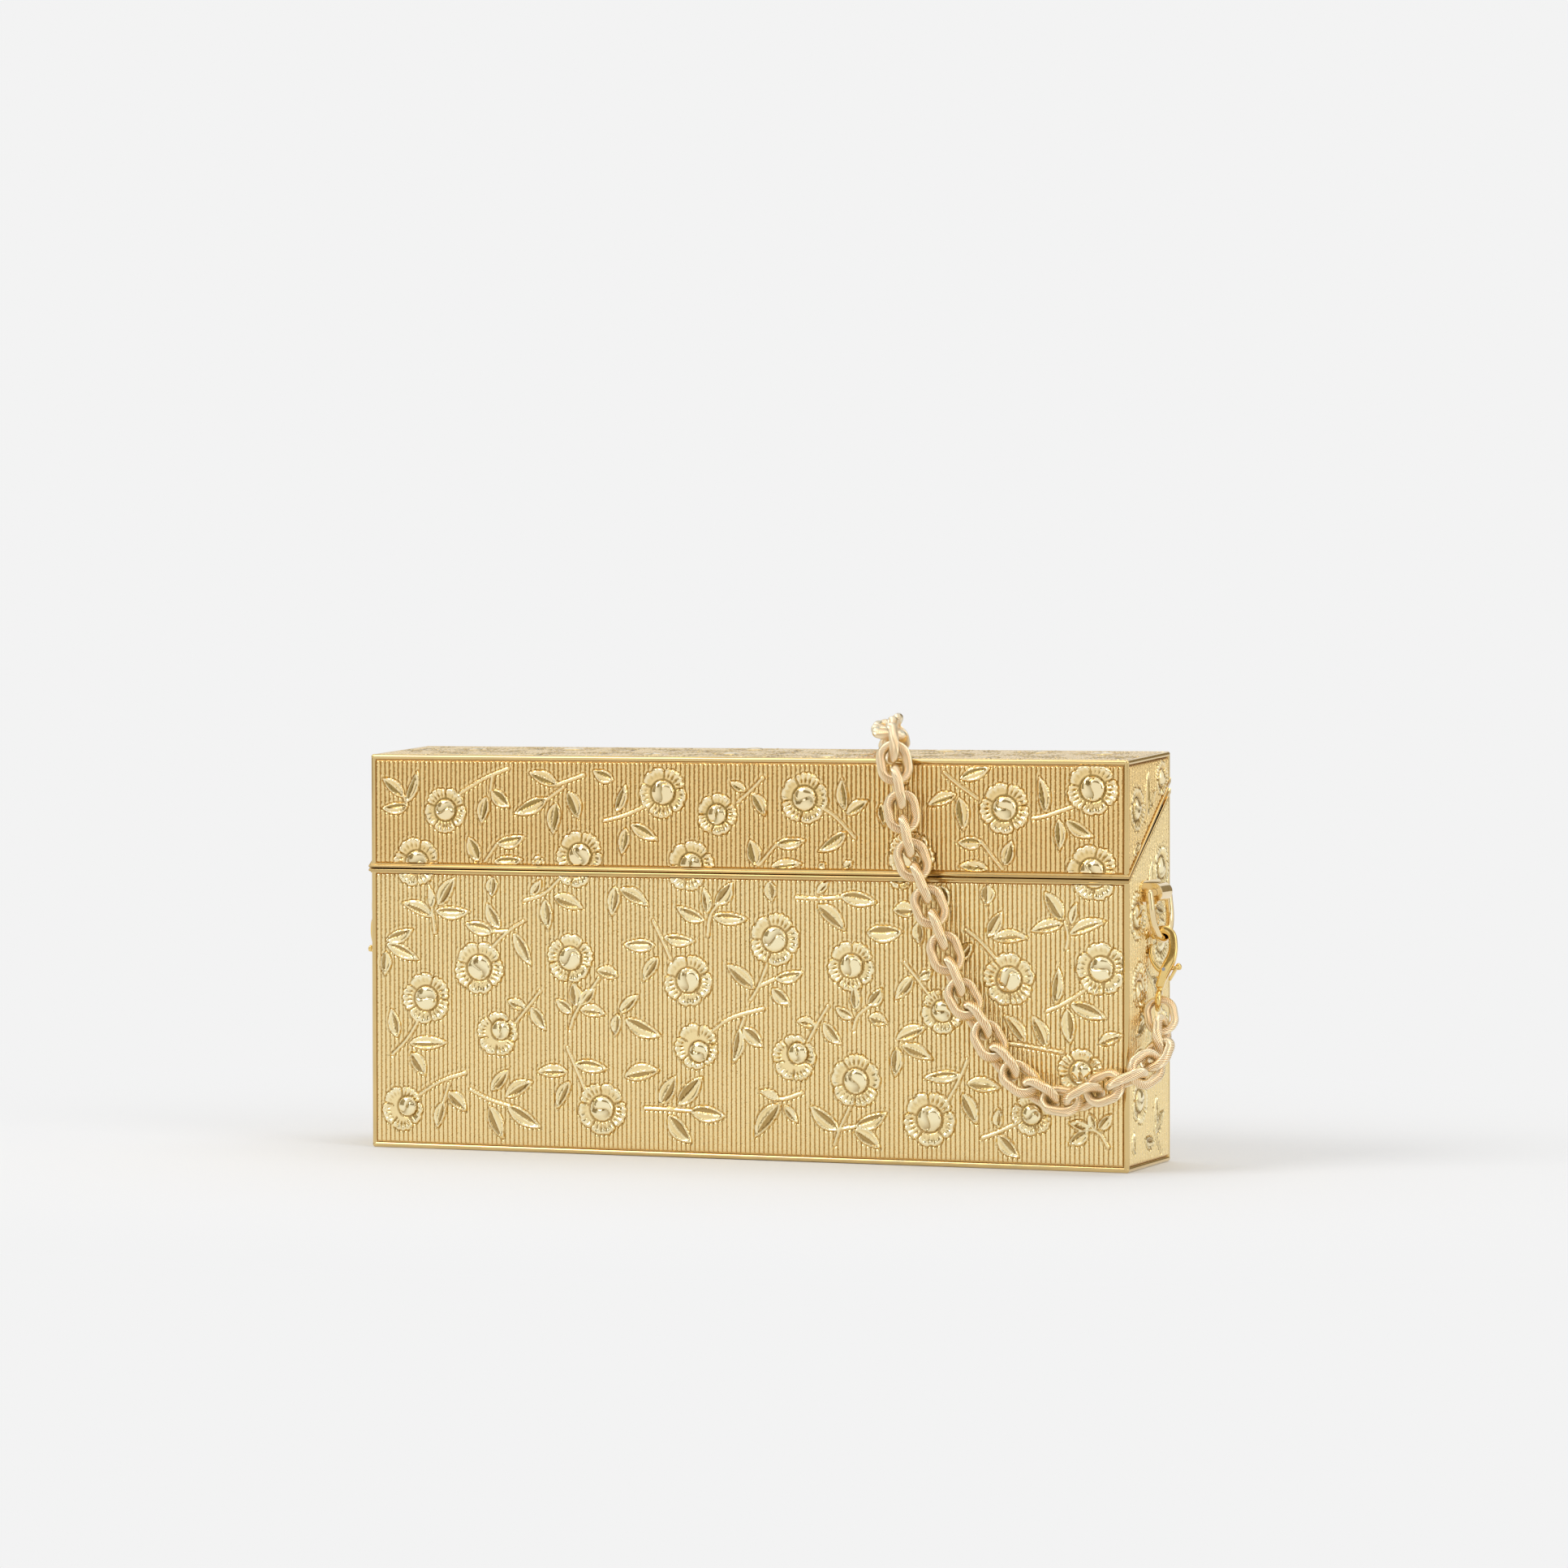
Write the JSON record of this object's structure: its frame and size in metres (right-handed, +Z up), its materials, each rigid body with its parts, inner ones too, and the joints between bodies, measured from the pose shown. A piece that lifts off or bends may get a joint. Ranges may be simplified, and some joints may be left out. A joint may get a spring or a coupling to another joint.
{
  "type": "metal box clutch bag with chain strap",
  "caption": "Slim box clutch with a slanted flip lid, reeded and flowered metal panels, side lugs with D-rings, lobster clasps and a rope-link chain strap laid over it.",
  "frame": {"origin": "middle of the underside, on the surface that the bag stands on", "axes": "front faces -Y, +Z is up, +X is towards the wearer's right-hand clasp in the front view"},
  "size_m": [0.2223, 0.0536, 0.1103],
  "materials": {
    "polished_gold": "polished gold plate",
    "pressed_gold": "pressed and polished gold plate",
    "chain_gold": "satin rose-gold plate",
    "clasp_gold": "polished yellow gold plate",
    "lining_cloth": "woven satin over board",
    "steel": "bright"
  },
  "bodies": {
    "case": {"case_shell": "polished_gold", "case_front_panel": "pressed_gold", "case_back_panel": "pressed_gold", "case_side_panels": "pressed_gold", "case_lining": "lining_cloth", "case_magnets": "steel", "case_hinge_leaf": "clasp_gold", "hinge_pin": "clasp_gold", "lug_right": "clasp_gold", "lug_left": "clasp_gold"},
    "lid": {"lid_shell": "polished_gold", "lid_front_panel": "pressed_gold", "lid_back_panel": "pressed_gold", "lid_top_panel": "pressed_gold", "lid_side_panels": "pressed_gold", "lid_lining": "lining_cloth", "lid_magnets": "steel", "lid_hinge_leaf": "clasp_gold", "strap_lid_links": "chain_gold"},
    "strap_front": {"strap_front_links": "chain_gold"},
    "strap_back": {"strap_back_links": "chain_gold"},
    "strap_side": {"strap_side_links": "chain_gold"},
    "dring_right": {"dring_right": "clasp_gold"},
    "dring_left": {"dring_left": "clasp_gold"},
    "clasp_right": {"clasp_body_right": "clasp_gold", "lever_pin_right": "steel", "lever_spring_right": "steel"},
    "clasp_left": {"clasp_body_left": "clasp_gold", "lever_pin_left": "steel", "lever_spring_left": "steel"},
    "lever_right": {"clasp_lever_right": "clasp_gold"},
    "lever_left": {"clasp_lever_left": "clasp_gold"},
    "eye_right": {"swivel_eye_right": "clasp_gold"},
    "eye_left": {"swivel_eye_left": "clasp_gold"}
  },
  "joints": [
    {"name": "lid_open", "type": "hinge", "parent": "case", "child": "lid", "pos_m": [0, 0.0176, 0.09295], "axis": [-1, 0, 0], "range_deg": [0, 86], "deforming": ["strap_side_links", "strap_front_links", "strap_lid_links", "strap_back_links"]},
    {"name": "strap_front_hang", "type": "hinge", "parent": "lid", "child": "strap_front", "pos_m": [0.04189, -0.02122, 0.10183], "axis": [-1, 0, 0], "range_deg": [-86, 0]},
    {"name": "strap_back_hang", "type": "hinge", "parent": "lid", "child": "strap_back", "pos_m": [0.02804, 0.01675, 0.10651], "axis": [0.9964, -0.0053, 0.0848], "range_deg": [0, 83.35]},
    {"name": "dring_right_swing", "type": "hinge", "parent": "case", "child": "dring_right", "pos_m": [0.1032, 0, 0.0674], "axis": [0, -1, 0], "range_deg": [0, 15]},
    {"name": "dring_left_swing", "type": "hinge", "parent": "case", "child": "dring_left", "pos_m": [-0.1032, 0, 0.0674], "axis": [0, 1, 0], "range_deg": [0, 15]},
    {"name": "clasp_right_hang", "type": "hinge", "parent": "dring_right", "child": "clasp_right", "pos_m": [0.10444, 0, 0.05587], "axis": [0, -1, 0], "range_deg": [-30, 0]},
    {"name": "clasp_left_hang", "type": "hinge", "parent": "dring_left", "child": "clasp_left", "pos_m": [-0.1053, 0, 0.05599], "axis": [0, 1, 0], "range_deg": [-30, 0]},
    {"name": "lever_right_press", "type": "hinge", "parent": "clasp_right", "child": "lever_right", "pos_m": [0.10512, -0.00171, 0.04843], "axis": [-0.2079, 0.9491, -0.2366], "range_deg": [0, 20], "stiffness_Nm_per_rad": 0.004, "springref_deg": -11.46},
    {"name": "lever_left_press", "type": "hinge", "parent": "clasp_left", "child": "lever_left", "pos_m": [-0.10597, 0.00171, 0.04856], "axis": [0.2079, -0.9491, -0.2366], "range_deg": [0, 20], "stiffness_Nm_per_rad": 0.004, "springref_deg": -11.46},
    {"name": "eye_right_turn", "type": "hinge", "parent": "clasp_right", "child": "eye_right", "pos_m": [0.10444, -0.00298, 0.04393], "axis": [0, 0.2419, 0.9703], "range_deg": [-10, 10]},
    {"name": "eye_left_turn", "type": "hinge", "parent": "clasp_left", "child": "eye_left", "pos_m": [-0.1053, 0.00298, 0.04406], "axis": [0, -0.2419, 0.9703], "range_deg": [-10, 10]},
    {"name": "strap_side_hang", "type": "hinge", "parent": "clasp_right", "child": "strap_side", "pos_m": [0.10477, -0.00429, 0.04014], "axis": [1, 0, 0], "range_deg": [0, 142.66]}
  ],
  "couplings": [
    {"joint": "strap_front_hang", "follows": "lid_open", "ratio": -1},
    {"joint": "strap_back_hang", "follows": "lid_open", "ratio": 0.96907},
    {"joint": "strap_side_hang", "follows": "lid_open", "ratio": 1.6587},
    {"joint": "clasp_right_hang", "follows": "dring_right_swing", "ratio": -1},
    {"joint": "clasp_left_hang", "follows": "dring_left_swing", "ratio": -1}
  ]
}
